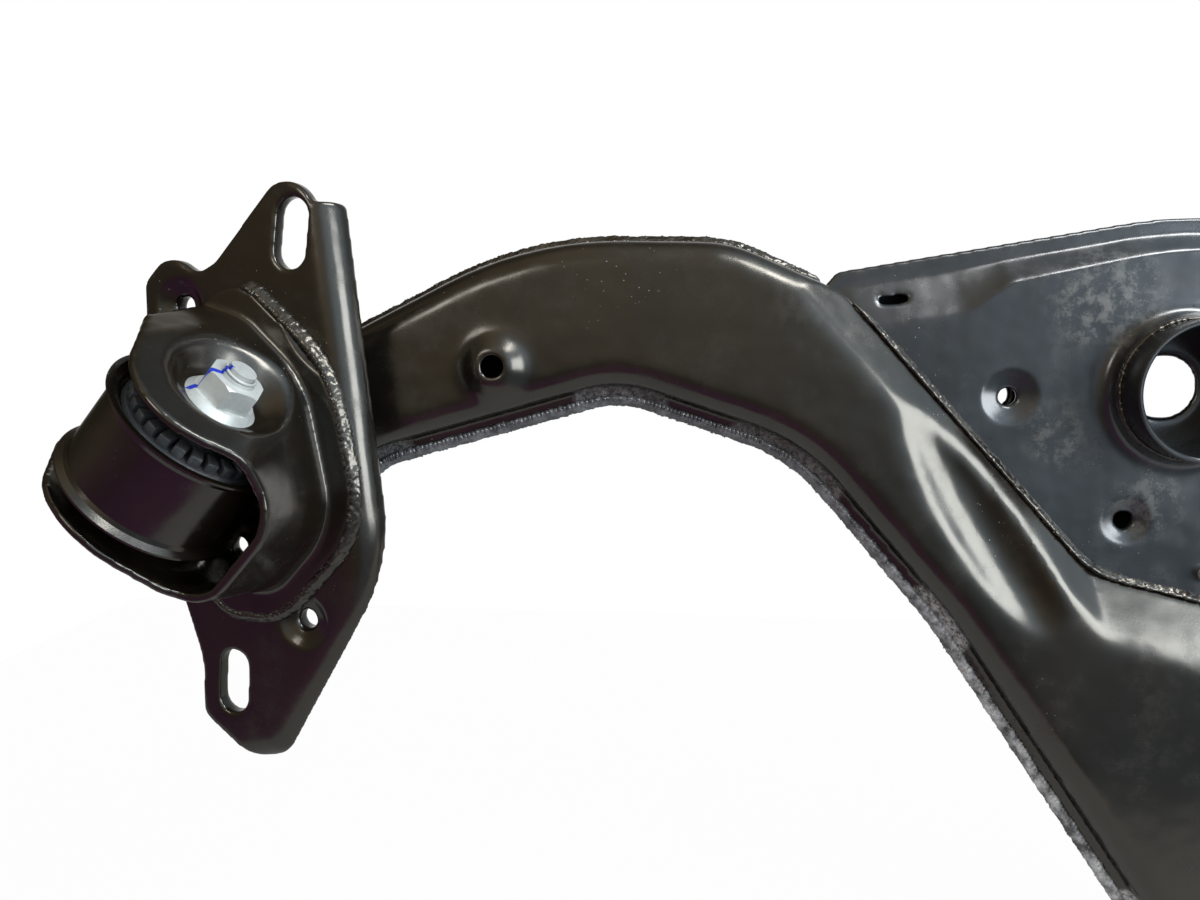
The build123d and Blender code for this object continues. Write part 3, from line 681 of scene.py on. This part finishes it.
blocks = placed("blocks", bpy.data.meshes.new("blocks"))
block_ring(bush_rubber).grow(blocks)
bevelled(blocks, BLOCK_BEVEL)
blocks.data.transform(BUSH)
rubber = turned("rubber", HALF_PROFILE)
bm = bmesh.new()
bm.from_mesh(rubber.data)
bm.from_mesh(blocks.data)
bm.to_mesh(rubber.data)
bm.free()
bpy.data.objects.remove(blocks)
finished(rubber, bush_rubber, CARRIER, ["bush_rubber"])

# %% [markdown]
# A weld bead freezes as a row of small lumps, and the arc throws out beads of metal that stick
# near it. The CAD gives each bead its run. Here the beads are rebuilt as small even faces, and
# Geometry Nodes push them out in lumps and scatter spatter balls on them.

# %% Weld paint and spatter
weld_paint = paint("weld_paint", (0.006, 0.005, 0.004, 1), (0.036, 0.032, 0.027, 1), gloss=0.17,
                   peel=1.5, grit=1.2, patches=60.0, mirror_tint=(1.0, 0.93, 0.80, 1))
# The seam bead is pale grey, lighter towards the tail: partly bare metal, partly a painted
# highlight.
seam_paint = paint("weld_paint", (0.06, 0.06, 0.062, 1), (0.88, 0.88, 0.90, 1), gloss=0.12,
                   peel=2.0, grit=1.2, patches=120.0, bared_and_lit=True)
print("weld paints", weld_paint.name, seam_paint.name)


def spatter(g, surface, density):
    """Small balls of frozen metal on a surface."""
    points = g.add("GeometryNodeDistributePointsOnFaces", {}, surface, Density=density,
                   Seed=g.given("Seed"))
    ball = g.add("GeometryNodeMeshIcoSphere", {}, 1.0, 1)
    size = g.between(g.given("Smallest Ball"), g.given("Largest Ball"))
    return g.add("GeometryNodeInstanceOnPoints", {}, points, None, ball, Scale=size)


# %% Weld beads
BEAD_VOXEL = 0.6
BEAD_SIZES = {"Lumps Per Metre": 300.0, "Spatter Per Square Metre": 45000.0,
              "Smallest Ball": 0.0002, "Largest Ball": 0.0006, "Seed": 7}
CARRIER_WELDS = ["hub_tube_weld", "link_sleeve_weld", "arm_upper_weld", "hub_lap_weld",
                 "bush_housing_weld", "bush_neck_weld"]
# title: CAD nodes, paint, body, lump height in metres, lift as a share of that height
BEADS = {
    "arm_seam": (["arm_lower_weld"], seam_paint, CARRIER, 0.0022, 0.25),
    "carrier_welds": (CARRIER_WELDS, weld_paint, CARRIER, 0.0020, -0.30),
    "bracket_weld": (["clevis_weld"], weld_paint, BRACKET, 0.0015, 0.52),
}


def bead_growth(material, lump, lift):
    """Lumps and spatter on a bead."""
    g = Growth("weld bead", {"Lump Height": lump, "Lift": lift, **BEAD_SIZES})
    lumps = g.add("ShaderNodeTexNoise", {}, Scale=g.given("Lumps Per Metre"), Detail=3.0,
                  Roughness=0.6)
    push = (lumps + g.given("Lift")) * g.given("Lump Height")
    outwards = g.add("ShaderNodeVectorMath", {"operation": "SCALE"},
                     g.add("GeometryNodeInputNormal", {}), Scale=push)
    bead = g.add("GeometryNodeSetPosition", {}, g.given(), Offset=outwards)
    balls = spatter(g, bead, g.given("Spatter Per Square Metre"))
    return g.close(g.join(bead, balls), material)


for title, (names, material, body, lump, lift) in BEADS.items():
    bead = even_faces(merged_copy(names, title), BEAD_VOXEL)
    soften(bead, 1)
    finished(bead_growth(material, lump, lift).grow(bead), material, body, names)

# %% [markdown]
# Spatter also flies past the bead onto the sheets beside it. A second tree scatters smaller balls
# on a copy of the sheet, most of them beside the bead and none past a reach of 12 millimetres.

# %% Spatter on the sheets
STRAY_SIZES = {"Spatter Per Square Metre": 30000.0, "Reach": 0.012, "Smallest Ball": 0.00012,
               "Largest Ball": 0.00045, "Seed": 11}
# title: the sheet that it lies on, the bead that it comes from, body
STRAYS = {
    "arm_spatter": ("arm_front", "arm_seam", CARRIER),
    "hub_spatter": ("hub_front", "carrier_welds", CARRIER),
    "plate_spatter": ("plate", "bracket_weld", BRACKET),
}


def stray_growth(material, beads):
    """Spatter on a sheet, thick beside the welds and thinning out away from them."""
    g = Growth("stray spatter", STRAY_SIZES)
    seam = g.add("GeometryNodeObjectInfo", {"transform_space": "ORIGINAL"}, beads,
                 output="Geometry")
    gap = g.add("GeometryNodeProximity", {}, seam, output="Distance")
    near = g.ramp(gap, g.given("Reach"), 0.0)
    density = near * near * g.given("Spatter Per Square Metre")
    return g.close(spatter(g, g.given(), density), material)


for title, (sheet_name, bead_name, body) in STRAYS.items():
    specks = placed(title, bpy.data.objects[sheet_name].data.copy())
    stray_growth(weld_paint, bpy.data.objects[bead_name]).grow(specks)
    finished(specks, weld_paint, body)

# %% [markdown]
# The bolt and nut are zinc plated and dull, almost white. A fitter drew a wavy blue line over the
# nut and the bolt's end after tightening, so that a loose one shows. The line is a band in the
# material, measured in the bush's own frame, and noise makes it waver as a line drawn by hand
# does.

# %% Zinc and the fitter's line
ZINC_PALE, ZINC_DARK = (0.64, 0.66, 0.63, 1), (0.48, 0.50, 0.48, 1)
ZINC_CLOUD, ZINC_EDGES = 90.0, (0.35, 0.7)
ZINC_METAL, ZINC_ROUGH, CLOUD_ROUGH, ZINC_GRAIN = 0.3, 0.42, 0.15, 900.0
STRIPE_BLUE = (0.02, 0.05, 0.55, 1)
STRIPE_HALF, STRIPE_SLANT, STRIPE_SHIFT = 0.0012, 0.6, 0.0003
STRIPE_FADE = (STRIPE_HALF * 1.25, STRIPE_HALF * 0.9)
WAVES, WAVE_HEIGHT = 70.0, 0.006
STRIPE_START, STRIPE_END = (0.0036, 0.0042), (0.0124, 0.0118)
NUT_FOOT = (0.030, 0.031)


def fitters_line(s):
    """A mask of the wavy line on the end of the bolt that carries the nut."""
    centred = s.add("ShaderNodeVectorMath", {"operation": "SUBTRACT"}, s.place, tuple(PIVOT))
    turn_back = bush_turn.transposed().to_euler()
    local = s.add("ShaderNodeMapping", {}, centred, Rotation=tuple(turn_back))
    x, y, z = s.axes(local)
    wobble = (s.noise(WAVES, 1.0) - 0.5) * WAVE_HEIGHT
    from_line = (x - y * STRIPE_SLANT - STRIPE_SHIFT + wobble).size()
    line = s.ramp(from_line, *STRIPE_FADE) * s.ramp(y, *STRIPE_START)
    return line * s.ramp(y, *STRIPE_END) * s.ramp(z, *NUT_FOOT)


def zinc(name):
    """Dull zinc plate with the fitter's line."""
    s = Shader(name)
    cloud = s.ramp(s.noise(ZINC_CLOUD, 4.0, 0.65), *ZINC_EDGES)
    colour = s.mix(cloud, ZINC_PALE, ZINC_DARK)
    s.main.inputs["Metallic"].default_value = ZINC_METAL
    s.bump(s.noise(ZINC_GRAIN, 3.0), 0.25, 0.0003)
    return s.coloured(s.mix(fitters_line(s), colour, STRIPE_BLUE),
                      cloud * CLOUD_ROUGH + ZINC_ROUGH)


zinc_steel = zinc("zinc_steel")
print("zinc", zinc_steel.name)

# %% [markdown]
# The turned and folded pieces keep their CAD shape, because a lathe or a plain fold leaves exact
# edges. They only get their finish.

# %% Finishes of the pieces that keep their CAD shape
REST = {
    "hub_tube": hub_paint, "hub_stud": zinc_steel, "link_sleeve": arm_paint,
    "bush_housing": bracket_paint, "bush_outer_sleeve": bracket_paint,
    "inner_sleeve": zinc_steel, "pivot_bolt": zinc_steel, "flange_nut": zinc_steel,
    "bush_neck": bracket_paint,
}
for name, material in REST.items():
    for slot in nodes[name].material_slots:
        slot.material = material
print(len(REST), "pieces keep their CAD shape")

# %% [markdown]
# The CAD bolt is a plain cylinder. Its thread is a helical ridge, made by sweeping a small ring
# along a spiral. Towards the bolt's tip the spiral sinks into the metal, so that the ridge has no
# loose end.

# %% Bolt thread
THREAD_SIZES = {"Turns": 4.0, "Pitch": 0.0015, "Crest Radius": 0.0069, "Ridge": 0.00065,
                "Start": 0.0408}
SPIRAL_STEPS, RIDGE_STEPS, SUNK = 24, 6, 1.05


def thread_growth(material):
    """A helical ridge round Z."""
    g = Growth("bolt thread", THREAD_SIZES)
    crest = g.given("Crest Radius")
    run_out = crest - g.given("Ridge") * SUNK
    spiral = g.add("GeometryNodeCurveSpiral", {}, SPIRAL_STEPS, g.given("Turns"), crest, run_out,
                   g.given("Turns") * g.given("Pitch"))
    ring = g.add("GeometryNodeCurvePrimitiveCircle", {"mode": "RADIUS"}, RIDGE_STEPS,
                 Radius=g.given("Ridge"))
    ridge = g.add("GeometryNodeCurveToMesh", {}, spiral, ring, **{"Fill Caps": True})
    return g.close(g.raised(ridge, g.given("Start")), material)


thread = placed("bolt_thread", bpy.data.meshes.new("bolt_thread"))
thread_growth(zinc_steel).grow(thread)
thread.data.transform(BUSH)
finished(thread, zinc_steel, BRACKET)

# %% [markdown]
# Plain studio light. Black gloss shows little but what it mirrors, so the room matters more than
# the lamps. A long narrow lamp overhead draws the highlights down the folds, a square one at the
# right stands for a window, and a weak one fills in from the left.

# %% Lamps
def lamp(name, place, target, size, power, colour=(1, 1, 1)):
    data = bpy.data.lights.new(name, "AREA")
    data.shape = "RECTANGLE"
    data.size, data.size_y = size
    data.energy = power
    data.color = colour
    obj = placed(name, data)
    aim = Vector(target) - Vector(place)
    obj.location = place
    obj.rotation_euler = aim.to_track_quat("-Z", "Y").to_euler()


# name, place, what it points at, size, watts, colour
lamp("overhead", (0.42, -0.42, 0.90), (0.0, 0.0, 0.05), (0.8, 0.24), 9.0)
lamp("front_left", (-0.75, -0.9, 0.45), (-0.4, 0.0, 0.0), (0.3, 0.3), 1.4)
lamp("window", (0.84, -0.70, 0.12), (-0.09, 0.0, -0.02), (0.62, 0.62), 9.5, (0.92, 0.96, 1.0))
print(len(bpy.data.lights), "lamps")

# %% [markdown]
# The room is cool and bright to the right, warm and dim to the left, purple low on the left, and
# dark below and behind the part. The camera sees plain white instead. So does a mirrored ray that
# goes almost straight back, which gives grazing edges the white of the background.

# %% Room and background
WARM, COOL, PURPLE = (1.0, 0.82, 0.56, 1), (0.74, 0.92, 1.10, 1), (0.90, 0.36, 0.80, 1)
COOL_EDGES = (-0.35, 0.50)
LOW_LEFT_EDGES, LOW_LEFT_GLOW, LEFTWARDS = (-0.30, -0.70), 0.14, 0.5
STRAIGHT_BACK = (0.6, 0.95)
# each: from, to, level there, level here
BY_HEIGHT = (-0.32, 0.20, 0.10, 0.55)
DIM_LEFT = (-0.8, 0.0, 0.3, 1.0)
BRIGHT_RIGHT = (0.1, 0.5, 1.0, 2.3)
DIM_BEHIND = (-0.3, 0.4, 1.0, 0.25)


def rays(graph):
    """Three masks: rays straight from the camera, mirrored by gloss, and through glass."""
    return [graph.add("ShaderNodeLightPath", {}, output=f"Is {kind} Ray")
            for kind in ("Camera", "Glossy", "Transmission")]


world = bpy.data.worlds.new("studio")
bpy.context.scene.world = world
world.use_nodes = True
room = Graph(world.node_tree)
right, back, up = room.axes(room.add("ShaderNodeTexCoord", {}, output="Generated"))
low_left = room.ramp(up + right * LEFTWARDS, *LOW_LEFT_EDGES)
tint = room.mix(room.ramp(right, *COOL_EDGES), WARM, COOL)
tint = room.mix(low_left, tint, PURPLE)
level = room.ramp(up, *BY_HEIGHT) * room.ramp(right, *DIM_LEFT)
level = level * room.ramp(right, *BRIGHT_RIGHT) * room.ramp(back, *DIM_BEHIND)
level = level + low_left * LOW_LEFT_GLOW
sky = room.tree.nodes["Background"]
room.feed(sky.inputs["Color"], tint)
room.feed(sky.inputs["Strength"], level)
white = room.add("ShaderNodeBackground", {}, WHITE, 1.0)
camera_ray, glossy_ray, glass_ray = rays(room)
seen = camera_ray.largest(glossy_ray.largest(glass_ray) * room.ramp(back, *STRAIGHT_BACK))
either = room.add("ShaderNodeMixShader", {}, seen, Value(room, sky.outputs[0]), white)
room.tree.links.new(either.socket, room.tree.nodes["World Output"].inputs["Surface"])
bpy.context.scene.view_settings.view_transform = "Standard"
print("world", world.name)

# %% [markdown]
# The floor is a wide grey plane just under the part. To the camera it is almost pure glow, so it
# is nearly white with only a trace of the part's shadow. In the gloss of the part it glows
# faintly, and all other light meets it as a dull grey surface, so that it doesn't brighten the
# part from below.

# %% Floor
FLOOR_ACROSS = (-0.9, 0.6)
FLOOR_DEEP = (-0.2, 0.6)
FLOOR_DROP = 0.0005
FLOOR_GREY = (0.40, 0.40, 0.40, 1)
FLOOR_ROUGH = 0.9
FLOOR_GLOW = 0.98
FLOOR_IN_GLOSS = 0.12


def floor_finish():
    s = Shader("floor")
    s.main.inputs["Base Color"].default_value = FLOOR_GREY
    s.main.inputs["Roughness"].default_value = FLOOR_ROUGH
    glow = s.add("ShaderNodeEmission", {}, WHITE, 1.0)
    camera_ray, glossy_ray, glass_ray = rays(s)
    seen = camera_ray.largest(glossy_ray.largest(glass_ray) * FLOOR_IN_GLOSS)
    shaded = Value(s, s.main.outputs[0])
    surface = s.add("ShaderNodeMixShader", {}, seen * FLOOR_GLOW, shaded, glow)
    s.tree.links.new(surface.socket, s.tree.nodes["Material Output"].inputs["Surface"])
    return s.material


def pale_floor(height):
    """One wide square under the part."""
    (x0, x1), (y0, y1) = FLOOR_ACROSS, FLOOR_DEEP
    corners = [(x0, y0, height), (x1, y0, height), (x1, y1, height), (x0, y1, height)]
    mesh = bpy.data.meshes.new("floor")
    mesh.from_pydata(corners, [], [(0, 1, 2, 3)])
    mesh.materials.append(floor_finish())
    placed("floor", mesh)


floor_height = cad_box[0][2] - FLOOR_DROP
pale_floor(floor_height)
print("floor at", floor_height)
